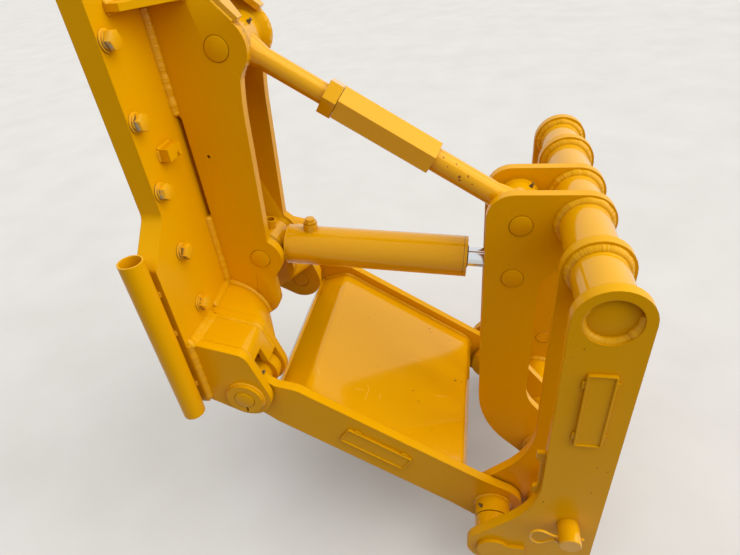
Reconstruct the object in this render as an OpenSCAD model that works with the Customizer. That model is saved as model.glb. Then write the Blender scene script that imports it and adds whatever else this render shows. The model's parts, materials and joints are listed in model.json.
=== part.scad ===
// Front lift group of a motor grader: a mast bolted to the nose of the machine, a lower
// frame, a screw-adjusted top link, a lift cylinder and a coupler head that stays level.
// X points forward, Y to the left, Z up. The origin is on the rear face of the mounting
// plate, level with its middle bolts. The pieces that move are drawn as they were parked.

/* [Linkage] */
// Forward place of the pin that the top link turns on at the mast
mast_top_x = 187; // [180:1:195]
// Height of that pin
mast_top_z = 249; // [240:1:258]
// Forward place of the pin that the lower frame turns on at the mast
mast_low_x = 154; // [148:1:162]
// Height of that pin
mast_low_z = -534; // [-540:1:-528]
// Length of the lower frame and of the top link, pin to pin
link_len = 758; // [700:1:820]
// Angle of both links below the horizontal as parked
link_drop = 33.2; // [28:0.1:38]
// Forward place of the lift cylinder's pin at the mast
mast_cyl_x = 165; // [160:1:170]
// Height of that pin
mast_cyl_z = -272; // [-280:1:-264]
// Lift cylinder's pin on the head, forward of the lower pins
head_cyl_dx = 23; // [15:1:32]
// Lift cylinder's pin on the head, above the lower pins
head_cyl_dz = 635; // [620:1:650]

/* [Pins] */
// Diameter of every pivot pin
pin_d = 54; // [48:1:60]
// Running clearance of a pin in its bores, on the radius
pin_clear = 0.05; // [0.02:0.01:0.1]
// Thickness of the pivot plates of the mast and the head
eye_plate_t = 25; // [20:1:32]
// Gap between the two pivot plates of the mast, and of the head
eye_gap = 116; // [112:1:130]
// Width of the eyes of the top link and the cylinder
eye_w = 76; // [60:1:90]
// Outside diameter of those eyes
eye_d = 104; // [96:1:110]
// Play at each side of an eye
eye_play = 1; // [0.5:0.1:2]

/* [Mounting plate] */
// Thickness of the mounting plate
plate_t = 50; // [40:1:60]
// Half the width of its upper part
plate_half_w = 256; // [250:1:262]
// Half the width of its foot
foot_half_w = 340; // [332:1:345]
// Height of its top edge
plate_top_z = 406; // [390:1:430]
// Height at which it begins to flare out
flare_top_z = -51; // [-80:1:-40]
// Height of its bottom edge
plate_bottom_z = -554; // [-570:1:-550]
// Spacing of its bolts up the plate
bolt_pitch = 152.4; // [150:0.1:155]
// Distance of its bolt rows from its side edges
bolt_edge = 24; // [20:1:28]
// Diameter of its bolt holes
bolt_hole_d = 24; // [23:0.5:28]

/* [Mast] */
// Front edge of the mast's plates between the two ears
mast_front_x = 224; // [218:1:226]
// Radius of the ears round the top link's pin
mast_ear_r = 66; // [62:1:70]
// Radius of the ears round the cylinder's pin
cyl_ear_r = 59; // [56:1:62]
// Thickness of the sloping cap
cap_t = 14; // [10:1:18]
// Thickness of the gussets
gusset_t = 14; // [10:1:18]

/* [Clevises] */
// Inner face of the inner cheek, from the middle
clevis_in_y = 181; // [178:1:186]
// Thickness of a cheek
cheek_t = 22; // [18:1:25]
// Gap between the two cheeks
clevis_gap = 102; // [99:1:106]
// Radius of the cheeks round the pin
clevis_r = 66; // [62:1:70]
// Diameter of the boss rings
boss_d = 95; // [88:1:100]
// How far a boss ring stands out
boss_t = 12; // [8:1:16]

/* [Marker tubes] */
// Outside diameter of the tubes that hold the marker rods
marker_d = 54; // [48:1:60]
// Wall of those tubes
marker_wall = 4; // [3:0.5:6]
// Length of those tubes
marker_len = 462; // [430:1:480]
// Gap between those tubes and the foot of the mounting plate
marker_gap = 8; // [6:1:12]

/* [Lower frame] */
// Outer face of a side arm, from the middle
arm_out_y = 300; // [297:1:302]
// Thickness of a side arm
arm_t = 25; // [20:1:28]
// Depth of a side arm
arm_depth = 146; // [130:1:150]
// Radius of an arm's rear eye
arm_rear_r = 55; // [52:1:60]
// Radius of an arm's front end
arm_front_r = 80; // [76:1:82]
// Height of the deck above the line of the pins
deck_n = 42; // [30:1:46]
// Thickness of the deck
deck_t = 12; // [10:1:14]
// Start of the flat of the deck, along the arm from the rear pin
deck_start = 135; // [130:1:145]
// End of the deck, along the arm from the rear pin
deck_end = 664; // [640:1:670]

/* [Coupler head] */
// Forward distance of the cross tubes from the pins of the lower frame
tube_dx = 168; // [160:1:175]
// Upper cross tube, above the lower pins
tube_up_dz = 791; // [780:1:800]
// Lower cross tube, below the lower pins
tube_low_dz = 5; // [0:1:12]
// Outside diameter of the cross tubes
tube_d = 110; // [104:1:114]
// Outer face of a side plate, from the middle
side_out_y = 422; // [410:1:430]
// Thickness of the side plates and the inner ears
side_t = 24; // [20:1:26]
// Inner face of an inner ear, from the middle
ear_in_y = 246; // [242:1:247]
// Half the width of a side plate at the upper tube
side_half_w = 71; // [68:1:74]
// Radius of the plates round the lower frame's pins
pivot_r = 68; // [66:1:72]
// Diameter of the lock pins
lock_d = 51; // [44:1:56]
// How far a lock pin stands out of the side plate
lock_out = 55; // [40:1:65]
// Height of the lock pins above the lower pins
lock_dz = 149; // [140:1:158]
// Forward place of the lock pins from the lower pins
lock_dx = 170; // [160:1:180]

/* [Top link] */
// Diameter of its rear rod
link_rear_d = 50; // [46:1:54]
// Diameter of its front rod
link_front_d = 57; // [50:1:60]
// Width across flats of its adjusting sleeve
sleeve_af = 76; // [72:1:78]
// Start of the lock nut, from the rear pin
nut_s = 230; // [215:1:245]
// Length of the lock nut
nut_len = 33; // [26:1:36]
// End of the adjusting sleeve, from the rear pin
sleeve_end = 515; // [480:1:540]

/* [Lift cylinder] */
// Outside diameter of the barrel
barrel_d = 106; // [96:1:106]
// Start of the barrel, from its rear pin
barrel_s = 56; // [54:1:62]
// End of the barrel, from its rear pin
barrel_end = 536; // [520:1:540]
// Diameter of the rod
rod_d = 50; // [44:1:56]
// Most that the rod's eye drifts from its pin as the head is raised
eye_drift = 12.4; // [12:0.1:13]

/* [Hidden] */
$fn = 64;
paint = "#e8a600";
paint_light = "#f4b81a";
chrome = "#c8ccd0";
arc_steps = 8;
bore_d = pin_d + 2 * pin_clear;
weld_fit = 0.1;
pin_edge = 2;

// Pin centres in the side view, as [x, z]
link_dir = [cos(link_drop), -sin(link_drop)];
mast_top = [mast_top_x, mast_top_z];
mast_low = [mast_low_x, mast_low_z];
mast_cyl = [mast_cyl_x, mast_cyl_z];
head_top = mast_top + link_len * link_dir;
head_low = mast_low + link_len * link_dir;
head_cyl = head_low + [head_cyl_dx, head_cyl_dz];
tube_up = head_low + [tube_dx, tube_up_dz];
tube_low = head_low + [tube_dx - 10, -tube_low_dz];
lock_at = head_low + [lock_dx, lock_dz];
cyl_len = norm(head_cyl - mast_cyl);
cyl_angle = atan2(head_cyl.y - mast_cyl.y, head_cyl.x - mast_cyl.x);

eye_out_y = eye_gap / 2 + eye_plate_t;
clevis_out_y = clevis_in_y + 2 * cheek_t + clevis_gap;
bolt_row_y = plate_half_w - bolt_edge;

// Outline helpers. An outline is a list of [x, y, radius], run clockwise.
function unit(v) = v / norm(v);
function flat2(p) = [p.x, p.y];
function corner(a, b, c) =
    let (p = flat2(b), u = unit(flat2(a) - p), v = unit(flat2(c) - p), half = acos(u * v) / 2)
    b.z == 0 ? [p] :
    let (m = p + unit(u + v) * b.z / sin(half),
         s = p + u * b.z / tan(half) - m,
         e = p + v * b.z / tan(half) - m,
         a0 = atan2(s.y, s.x),
         turn = atan2(s.x * e.y - s.y * e.x, s * e))
    [for (i = [0 : arc_steps], a = a0 + turn * i / arc_steps) m + b.z * [cos(a), sin(a)]];
function before(p, i) = p[(i + len(p) - 1) % len(p)];
function after(p, i) = p[(i + 1) % len(p)];
function apart(p) = [for (i = [0 : len(p) - 1]) if (norm(p[i] - before(p, i)) > 0.01) p[i]];
function rounded(p) = apart([for (i = [0 : len(p) - 1], q = corner(before(p, i), p[i], after(p, i))) q]);

// Corner of an outline that runs round centre c at radius r, from angle a to angle b
function ear(c, r, a, b) =
    let (m = (a + b) / 2, d = r / cos((a - b) / 2))
    [c.x + d * cos(m), c.y + d * sin(m), r];

// Angle at which a line between point p and the circle touches it: side -1 comes from p, 1 goes on to p
function touch(c, r, p, side) = atan2(p.y - c.y, p.x - c.x) + side * acos(r / norm(flat2(p) - c));

// Corners of an outline that comes from point p, runs round centre c at radius r and goes on to point q
function round_end(c, r, p, q) =
    let (a = touch(c, r, p, -1), sweep = (a - touch(c, r, q, 1) + 720) % 360, n = ceil(sweep / 90))
    [for (i = [0 : n - 1]) ear(c, r, a - sweep * i / n, a - sweep * (i + 1) / n)];

// Line p moved to its right by t, for bent plates
function step_dir(p, i) = unit(flat2(p[i + 1]) - flat2(p[i]));
function beside(p, t) = [for (i = [0 : len(p) - 1])
    let (d0 = step_dir(p, max(i - 1, 0)), d1 = step_dir(p, min(i, len(p) - 2)),
         m = [d0.y + d1.y, -d0.x - d1.x], turn = d0.x * d1.y - d0.y * d1.x,
         q = flat2(p[i]) + t * m / (1 + d0 * d1))
    [q.x, q.y, p[i].z == 0 ? 0 : p[i].z + (turn < 0 ? -t : t)]];
function turned(p) = [for (i = [len(p) - 1 : -1 : 0]) p[i]];
function bent(p, t) = rounded(concat(p, turned(beside(p, t))));

// A side view shape made t thick, from y0 towards the left
module slab(y0, t) {
    translate([0, y0 + t, 0]) rotate([90, 0, 0]) linear_extrude(t) children();
}

// A round bar across the machine, centred on c in the side view
module bar(c, d, y0, t) {
    translate([c.x, y0 + t, c.y]) rotate([90, 0, 0]) cylinder(d = d, h = t);
}

// A pivot pin, a bar with its ends chamfered
module pin(c, d, y0, t) {
    translate([c.x, y0 + t, c.y]) rotate([90, 0, 0]) rotate_extrude() polygon([
        [0, 0], [d / 2 - pin_edge, 0], [d / 2, pin_edge], [d / 2, t - pin_edge],
        [d / 2 - pin_edge, t], [0, t]]);
}

// The piece on the right, or its mirror image on the left
module on_side(left) {
    mirror([0, left ? 1 : 0, 0]) children();
}

// Along a link, forward and to its upper side
module along(c, angle) {
    translate([c.x, 0, c.y]) rotate([0, -angle, 0]) children();
}

// Mounting plate
flare_w = foot_half_w - plate_half_w;
plate_outline = [
    [plate_half_w, plate_top_z, 12], [plate_half_w, flare_top_z, 30],
    [foot_half_w, flare_top_z - flare_w, 12], [foot_half_w, plate_bottom_z, 10],
    [-foot_half_w, plate_bottom_z, 10], [-foot_half_w, flare_top_z - flare_w, 12],
    [-plate_half_w, flare_top_z, 30], [-plate_half_w, plate_top_z, 12]];

module mount_plate() {
    color(paint) difference() {
        rotate([90, 0, 90]) linear_extrude(plate_t) polygon(rounded(plate_outline));
        for (side = [-1, 1], row = [-2 : 2])
            translate([-1, side * bolt_row_y, row * bolt_pitch])
                rotate([0, 90, 0]) cylinder(d = bolt_hole_d, h = plate_t + 2);
    }
}

// Mast plates
slope_angle = 42;
relief_top_z = 114;
relief_bottom_z = -143;
relief_w = 12;
slope_at = mast_top + mast_ear_r * [cos(slope_angle), sin(slope_angle)];
slope_top_x = slope_at.x - (plate_top_z - slope_at.y) * tan(slope_angle);
mast_waist = [mast_front_x, mast_top.y - mast_ear_r / cos(45) + (mast_front_x - mast_top.x), 45];
mast_throat = [mast_cyl.x + 25, mast_cyl.y - 60, 30];
mast_nose = [mast_throat.x + 1, mast_throat.y - 96, 50];
mast_toe = [mast_nose.x - 70, mast_nose.y - 54, 20];
mast_foot_z = mast_toe.y - 13;
mast_outline = [
    [plate_t, plate_top_z, 0], [slope_top_x, plate_top_z, 10],
    ear(mast_top, mast_ear_r, slope_angle, -45), mast_waist,
    each round_end(mast_cyl, cyl_ear_r, mast_waist, mast_throat),
    mast_throat, mast_nose, mast_toe, [plate_t, mast_foot_z, 0],
    [plate_t, relief_bottom_z, 0], [plate_t + relief_w, relief_bottom_z, 5],
    [plate_t + relief_w, relief_top_z, 10], [plate_t, relief_top_z, 0]];
sight_hole = [101, 15];
sight_hole_d = 8;
ring_t = (eye_gap - eye_w) / 2 - eye_play;

module mast_plate(left) {
    color(paint) on_side(left) difference() {
        slab(-eye_out_y, eye_plate_t) polygon(rounded(mast_outline));
        for (c = [mast_top, mast_cyl]) bar(c, bore_d, -eye_out_y - 1, eye_plate_t + 2);
        bar(sight_hole, sight_hole_d, -eye_out_y - 1, eye_plate_t + 2);
    }
    // Ring inside the plate, which holds the eye in the middle
    color(paint) on_side(left) difference() {
        for (c = [mast_top, mast_cyl]) bar(c, eye_d, -eye_gap / 2 - weld_fit, ring_t + weld_fit);
        for (c = [mast_top, mast_cyl]) bar(c, bore_d, -eye_gap, eye_gap);
    }
}

// Cap on the sloping edges, open in the middle for the top link
cap_inset = 4;
cap_half_w = eye_out_y - cap_inset;
cap_mouth = 110;
cap_back = 56;
cap_depth = 74;
cap_len = (plate_top_z - slope_at.y) / cos(slope_angle);

module mast_cap() {
    color(paint_light) translate([slope_at.x, 0, slope_at.y]) rotate([0, -slope_angle, 0])
        translate([cap_t, 0, 0]) rotate([0, -90, 0]) linear_extrude(cap_t) polygon([
            [0, cap_mouth / 2], [0, cap_half_w], [cap_len, cap_half_w], [cap_len, -cap_half_w],
            [0, -cap_half_w], [0, -cap_mouth / 2], [cap_depth, -cap_back / 2],
            [cap_depth, cap_back / 2]]);
}

// Level gussets beside the mast, near its top
top_gusset_z = 346;
top_gusset_x = 150;
top_gusset_y = 205;
top_gusset_nose = 30;

module top_gusset(left) {
    color(paint) on_side(left) translate([0, 0, top_gusset_z]) linear_extrude(gusset_t) polygon([
        [plate_t, -eye_out_y], [plate_t, -top_gusset_y], [plate_t + top_gusset_nose, -top_gusset_y],
        [top_gusset_x, -eye_out_y - top_gusset_nose], [top_gusset_x, -eye_out_y]]);
}

// Lower clevises
cheek_top_z = -359;
cheek_nose = [182, -392, 34];
cheek_foot = [plate_t, plate_bottom_z + 2, 0];
cheek_front_a = touch(mast_low, clevis_r, cheek_nose, -1);
cheek_outline = [
    [plate_t, cheek_top_z, 0], cheek_nose, each round_end(mast_low, clevis_r, cheek_nose, cheek_foot),
    cheek_foot];
slot_w = 6;

module clevis_outer(left) {
    color(paint) on_side(left) difference() {
        union() {
            slab(-clevis_out_y, cheek_t) polygon(rounded(cheek_outline));
            bar(mast_low, boss_d, -clevis_out_y - boss_t, boss_t);
        }
        bar(mast_low, bore_d, -clevis_out_y - boss_t - 1, boss_t + cheek_t + 2);
        translate([mast_low.x - slot_w / 2, -clevis_out_y - boss_t - 1, mast_low.y - boss_d])
            cube([slot_w, boss_t + 1, boss_d]);
    }
}

module clevis_inner(left) {
    color(paint) on_side(left) difference() {
        slab(-clevis_in_y - cheek_t, cheek_t) polygon(rounded(cheek_outline));
        bar(mast_low, bore_d, -clevis_in_y - cheek_t - 1, cheek_t + 2);
    }
}

// Folded plate between the cheeks, cut away in front over the arm
fold_t = 16;
fold_inset = 3;
fold_end_z = -475;
fold_over = 33;
fold_slot_top_z = -431;
fold_slot_play = 21;
fold_slope = (cheek_top_z - cheek_nose.y) / (cheek_nose.x - plate_t);
fold_front = [sin(cheek_front_a), -cos(cheek_front_a)];
fold_end = flat2(cheek_nose) + fold_front * (cheek_nose.y - fold_end_z) / cos(cheek_front_a);
fold_path = beside([[plate_t - fold_over, cheek_top_z + fold_over * fold_slope, 0], cheek_nose,
    [fold_end.x, fold_end.y, 0]], fold_inset);
fold_slot_w = clevis_out_y - cheek_t - arm_out_y + arm_t + fold_slot_play;
cut = 200;

module clevis_fold(left) {
    color(paint_light) on_side(left) difference() {
        slab(-clevis_out_y + cheek_t, clevis_gap) polygon(bent(fold_path, fold_t));
        translate([plate_t - cut, -clevis_out_y, cheek_top_z - cut / 2]) cube([cut, clevis_out_y, cut]);
        translate([mast_low.x, -clevis_out_y + cheek_t - 1, fold_slot_top_z - cut])
            cube([cut, fold_slot_w + 1, cut]);
    }
}

// Bent gusset between a clevis and the mast: a tight curve at the mast, the cheek's outline at the clevis
gusset_x = 152;
gusset_top_z = -348;
gusset_bend_z = -379;
gusset_foot_z = -470;
gusset_toe = [206, -484, 20];
gusset_mast = [
    [plate_t, gusset_top_z, 0], [gusset_x, gusset_bend_z, 110], [gusset_x, gusset_foot_z, 0],
    [plate_t, gusset_foot_z, 0]];
gusset_cheek = [
    [plate_t, cheek_top_z, 0], cheek_nose, gusset_toe, [plate_t, gusset_toe.y, 0]];

module gusset_form(over) {
    hull() {
        slab(-eye_out_y - 1 + over, 1) polygon(rounded(gusset_mast));
        slab(-clevis_in_y - over, 1) polygon(rounded(gusset_cheek));
    }
}

module low_gusset(left) {
    color(paint) on_side(left) difference() {
        gusset_form(0);
        translate([-gusset_t, 0, -gusset_t]) gusset_form(1);
    }
}

// Marker tubes and their tabs
marker_x = 28;
marker_y = foot_half_w + marker_gap + marker_d / 2;
marker_bottom = -548;
tab_z = [-208, -323, -492];
tab_h = 22;
tab_t = 16;

module marker_tube(left) {
    color(paint) on_side(left) {
        difference() {
            union() {
                translate([marker_x, -marker_y, marker_bottom]) cylinder(d = marker_d, h = marker_len);
                for (z = tab_z)
                    translate([marker_x - tab_t / 2, -marker_y, z])
                        cube([tab_t, marker_y - foot_half_w, tab_h]);
            }
            translate([marker_x, -marker_y, marker_bottom - 1])
                cylinder(d = marker_d - 2 * marker_wall, h = marker_len + 2);
        }
    }
}

// Small welded block with a stud in its front, on the right of the plate only
block = [25, 54, 28];
block_at = [-194, 51];
stud_at = [-155, 58];
stud_across = 12;
stud_out = 5;

module anchor_block() {
    color(paint) {
        translate([plate_t, block_at.x, block_at.y]) cube(block);
        translate([plate_t + block.x - 1, stud_at.x, stud_at.y]) rotate([0, 90, 0])
            cylinder(d = stud_across, h = stud_out + 1);
    }
}

// Pins
module mast_top_pin() {
    color(paint) pin(mast_top, pin_d, -eye_out_y, 2 * eye_out_y);
}
module mast_cylinder_pin() {
    color(paint) pin(mast_cyl, pin_d, -eye_out_y, 2 * eye_out_y);
}
module rear_pin(left) {
    color(paint) on_side(left)
        pin(mast_low, pin_d, -clevis_out_y - boss_t, clevis_out_y + boss_t - clevis_in_y);
}
module head_top_pin() {
    color(paint) pin(head_top, pin_d, -eye_out_y, 2 * eye_out_y);
}
module head_cylinder_pin() {
    color(paint) pin(head_cyl, pin_d, -eye_out_y, 2 * eye_out_y);
}

// Lower frame, drawn along the pins from the rear pin at the origin
arm_eye_play = 2;
arm_eye_over = 1;
arm_ring_t = 33;
arm_waist_d = 84;
front_boss_t = 45;
arm_eye_out_y = clevis_out_y - cheek_t - arm_eye_play;
arm_half = arm_depth / 2;
arm_neck = [52, arm_rear_r - 3, 30];
arm_heel = [110, -arm_half, 60];
arm_toe = [link_len - 90, arm_half, 200];
arm_toe_low = [arm_toe.x, -arm_half, 200];
arm_outline = [
    each round_end([0, 0], arm_rear_r, arm_heel, arm_neck), arm_neck, [104, arm_half - 1, 60],
    arm_toe, each round_end([link_len, 0], arm_front_r, arm_toe, arm_toe_low), arm_toe_low, arm_heel];

module arm(left) {
    color(paint) on_side(left) along(mast_low, -link_drop) difference() {
        union() {
            slab(-arm_out_y, arm_t) polygon(rounded(arm_outline));
            bar([0, 0], arm_waist_d, -arm_eye_out_y, clevis_gap - 2 * arm_eye_play);
            for (y = [-arm_eye_out_y, -clevis_in_y - cheek_t - arm_eye_play - arm_ring_t])
                bar([0, 0], 2 * (arm_rear_r + arm_eye_over), y, arm_ring_t);
            bar([link_len, 0], boss_d, -arm_out_y - front_boss_t, front_boss_t + 1);
        }
        bar([0, 0], bore_d, -clevis_out_y, clevis_out_y);
        bar([link_len, 0], bore_d, -arm_out_y - front_boss_t - 1, front_boss_t + arm_t + 2);
    }
}

// Deck, bent down at both ends, with a rib under its rear edge
deck_back = 59;
deck_back_h = 70;
deck_nose = 34;
deck_line = [
    [deck_start - deck_back, deck_n - deck_back_h, 0], [deck_start, deck_n, 30],
    [deck_end - deck_nose, deck_n, 30], [deck_end, deck_n - deck_nose, 0]];
rib_t = 10;
rib_h = 40;
rib_at = [deck_start - deck_back - 6, deck_n - deck_back_h + 2];
deck_half_w = arm_out_y - arm_t;

module deck() {
    color(paint_light) along(mast_low, -link_drop) {
        slab(-deck_half_w, 2 * deck_half_w) polygon(bent(deck_line, deck_t));
        translate([rib_at.x, -deck_half_w, rib_at.y - rib_h]) cube([rib_t, 2 * deck_half_w, rib_h]);
    }
}

// Coupler head
head_left_x = -46;
head_top_dz = 861;
head_right_x = 86;
head_brow_dz = 628;
head_chin_dz = 210;
head_heel_dz = 93;
head_foot_r = 75;
head_crown = [head_low.x + head_left_x, head_low.y + head_top_dz, 62];
head_brow = [head_low.x + head_right_x, head_low.y + head_brow_dz, 60];
head_chin = [head_low.x + head_right_x, head_low.y + head_chin_dz, 120];
head_heel = [head_low.x + head_left_x, head_low.y + head_heel_dz, 300];
head_outline = [
    head_crown, each round_end(tube_up, head_top_dz - tube_up_dz, head_crown, head_brow),
    head_brow, head_chin, each round_end(tube_low, head_foot_r, head_chin, head_heel), head_heel];

module head_plate(left) {
    color(paint) on_side(left) difference() {
        slab(-eye_out_y, eye_plate_t) polygon(rounded(head_outline));
        for (c = [head_top, head_cyl]) bar(c, bore_d, -eye_out_y - 1, eye_plate_t + 2);
        for (c = [tube_up, tube_low]) bar(c, tube_d + 2 * weld_fit, -eye_out_y - 1, eye_plate_t + 2);
    }
    color(paint) on_side(left) difference() {
        bar(head_top, eye_d, -eye_gap / 2 - weld_fit, ring_t + weld_fit);
        bar(head_top, bore_d, -eye_gap, eye_gap);
    }
}

side_in_y = side_out_y - side_t;
module upper_tube() {
    color(paint) bar(tube_up, tube_d, -side_in_y, 2 * side_in_y);
}
module lower_tube() {
    color(paint) bar(tube_low, tube_d, -side_in_y, 2 * side_in_y);
}

side_back_dz = 203;
side_toe = [tube_up.x + side_half_w, head_low.y - pivot_r, 72];
side_back = [tube_up.x - side_half_w, head_low.y + side_back_dz, 250];
side_outline = [
    each round_end(tube_up, side_half_w, side_back, side_toe), side_toe,
    each round_end(head_low, pivot_r, side_toe, side_back), side_back];
recess_d = 102;
lock_bore_d = lock_d + 1;

// Guide on the rear edge of a side plate, with a hook at each end
guide_t = 10;
guide_low_dz = 246;
guide_top_dz = 397;
guide_in = 10;
guide_mid = 8;
guide_out = 18;
guide_hook = 22;
guide_outline = [
    [guide_in, guide_low_dz], [-guide_out, guide_low_dz], [-guide_out, guide_low_dz + guide_hook],
    [-guide_mid, guide_low_dz + guide_hook + guide_mid],
    [-guide_mid, guide_top_dz - guide_hook - guide_mid],
    [-guide_out, guide_top_dz - guide_hook], [-guide_out, guide_top_dz], [guide_in, guide_top_dz]];

module side_plate(left) {
    color(paint) on_side(left) slab(-side_in_y - guide_t, guide_t)
        translate([side_back.x, head_low.y]) polygon(guide_outline);
    color(paint) on_side(left) difference() {
        slab(-side_out_y, side_t) polygon(rounded(side_outline));
        bar(tube_up, recess_d, -side_out_y - 1, side_t + 2);
        bar(head_low, bore_d, -side_out_y - 1, side_t + 2);
        bar(lock_at, lock_bore_d, -side_out_y - 1, side_t + 2);
    }
}

module inner_ear(left) {
    color(paint) on_side(left) difference() {
        slab(-ear_in_y - side_t, side_t) polygon(rounded(side_outline));
        for (c = [tube_up, tube_low])
            bar(c, tube_d + 2 * weld_fit, -ear_in_y - side_t - 1, side_t + 2);
        bar(head_low, bore_d, -ear_in_y - side_t - 1, side_t + 2);
        bar(lock_at, lock_bore_d, -ear_in_y - side_t - 1, side_t + 2);
    }
}

sleeve_play = 3;
sleeve_in_y = arm_out_y + front_boss_t + sleeve_play;
module pivot_sleeve(left) {
    color(paint) on_side(left) difference() {
        bar(head_low, boss_d, -side_in_y, side_in_y - sleeve_in_y);
        bar(head_low, bore_d, -side_in_y - 1, side_in_y - sleeve_in_y + 2);
    }
}

// Front pin with the flag that keeps it from turning
flag_t = 10;
flag_d = 84;
flag_len = 78;
flag_w = 50;
module front_pin(left) {
    color(paint) on_side(left) {
        pin(head_low, pin_d, -side_out_y, side_out_y - ear_in_y);
        slab(-side_out_y - flag_t, flag_t) union() {
            translate(head_low) circle(d = flag_d);
            translate(head_low - [0, flag_w / 2]) square([flag_len, flag_w]);
        }
    }
}

// Lock pin with the cross hole of its clip
clip_hole_d = 8;
clip_out = 34;
module lock_pin(left) {
    color(paint) on_side(left) difference() {
        pin(lock_at, lock_d, -side_out_y - lock_out, side_out_y + lock_out - ear_in_y);
        translate([lock_at.x - lock_d, -side_out_y - clip_out, lock_at.y])
            rotate([0, 90, 0]) cylinder(d = clip_hole_d, h = 2 * lock_d);
    }
}

// Top link
neck_s = 78;
cone_s = 37;
cone_d = eye_w - 2;
thread_in = 60;
thread_bore = 80;

module link_eye(d_end) {
    bar([0, 0], eye_d, -eye_w / 2, eye_w);
    translate([cone_s, 0, 0]) rotate([0, 90, 0]) cylinder(d1 = cone_d, d2 = d_end, h = neck_s - cone_s);
}

module link_rear_rod() {
    color(paint) along(mast_top, -link_drop) difference() {
        union() {
            link_eye(link_rear_d);
            translate([neck_s - 1, 0, 0]) rotate([0, 90, 0])
                cylinder(d = link_rear_d, h = nut_s + nut_len + thread_in - neck_s);
        }
        bar([0, 0], bore_d, -eye_w, 2 * eye_w);
    }
}

module link_front_rod() {
    color(paint) along(head_top, 180 - link_drop) difference() {
        union() {
            link_eye(link_front_d);
            translate([neck_s - 1, 0, 0]) rotate([0, 90, 0])
                cylinder(d = link_front_d, h = link_len - sleeve_end + thread_in - neck_s);
        }
        bar([0, 0], bore_d, -eye_w, 2 * eye_w);
    }
}

// Hexagonal bar of length l from a start s along the link, less the bores given to it
module hex_bar(s, l, turn) {
    translate([s, 0, 0]) rotate([0, 90, 0]) rotate([0, 0, turn]) difference() {
        cylinder(d = sleeve_af / cos(30), h = l, $fn = 6);
        children();
    }
}

nut_turn = 18;
sleeve_turn = 5;
sleeve_s = nut_s + nut_len + 1;
sleeve_len = sleeve_end - sleeve_s;

module link_nut() {
    color(paint) along(mast_top, -link_drop) hex_bar(nut_s, nut_len, nut_turn)
        translate([0, 0, -1]) cylinder(d = link_rear_d + 2 * weld_fit, h = nut_len + 2);
}
module link_sleeve() {
    color(paint_light) along(mast_top, -link_drop) hex_bar(sleeve_s, sleeve_len, sleeve_turn) {
        translate([0, 0, -1]) cylinder(d = link_rear_d + 2 * weld_fit, h = thread_bore + 1);
        translate([0, 0, sleeve_len - thread_bore])
            cylinder(d = link_front_d + 2 * weld_fit, h = thread_bore + 1);
    }
}

// Lift cylinder, drawn along its axis from the rear pin
barrel_wall = 9;
barrel_in_d = barrel_d - 2 * barrel_wall;
barrel_base = 30;
gland_len = 50;
port_s = 120;
port_d = 38;
port_n = barrel_d / 2 + 16;
barrel_neck_s = 20;
stub_d = 30;
stub_start = 42;
stub_len = 75;
stub_tilt = 8.3;
port_hole_d = 20;
port_hole_deep = 14;

module cylinder_barrel() {
    color(paint) along(mast_cyl, cyl_angle) difference() {
        union() {
            bar([0, 0], eye_d, -eye_w / 2, eye_w);
            translate([barrel_neck_s, 0, 0]) rotate([0, 90, 0])
                cylinder(d = eye_w, h = barrel_s + 1 - barrel_neck_s);
            translate([barrel_s, 0, 0]) rotate([0, 90, 0])
                cylinder(d = barrel_d, h = barrel_end - barrel_s);
            translate([port_s, 0, barrel_in_d / 2 + 1])
                cylinder(d = port_d, h = port_n - barrel_in_d / 2 - 1);
            rotate([0, stub_tilt, 0]) translate([0, 0, stub_start])
                cylinder(d = stub_d, h = stub_len - stub_start);
        }
        bar([0, 0], bore_d, -eye_w, 2 * eye_w);
        translate([barrel_s + barrel_base, 0, 0]) rotate([0, 90, 0])
            cylinder(d = barrel_in_d, h = barrel_end - gland_len - barrel_s - barrel_base);
        translate([barrel_end - gland_len - 1, 0, 0]) rotate([0, 90, 0])
            cylinder(d = rod_d + 2 * pin_clear, h = gland_len + 2);
        translate([port_s, 0, port_n - port_hole_deep]) cylinder(d = port_hole_d, h = port_hole_deep + 1);
        rotate([0, stub_tilt, 0]) translate([0, 0, stub_len - port_hole_deep])
            cylinder(d = port_hole_d, h = port_hole_deep + 1);
    }
}

rod_eye_d = 112;
rod_neck_s = 61;
rod_neck_len = 30;
rod_neck_wall = 8;
piston_clear = 0.3;
piston_t = 60;
piston_play = 50;
rod_start = barrel_s + barrel_base + piston_play;
module cylinder_rod() {
    color(chrome) along(mast_cyl, cyl_angle) translate([rod_start, 0, 0]) rotate([0, 90, 0]) {
        cylinder(d = rod_d, h = cyl_len - rod_neck_s - rod_start);
        cylinder(d = barrel_in_d - 2 * piston_clear, h = piston_t);
    }
}
module rod_eye() {
    color(paint) along(mast_cyl, cyl_angle) translate([cyl_len, 0, 0]) difference() {
        union() {
            bar([0, 0], rod_eye_d, -eye_w / 2, eye_w);
            translate([-rod_neck_s, 0, 0]) rotate([0, 90, 0])
                cylinder(d = rod_d + 2 * rod_neck_wall, h = rod_neck_len);
        }
        bar([0, 0], bore_d + 2 * eye_drift, -eye_w, 2 * eye_w);
    }
}

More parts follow.
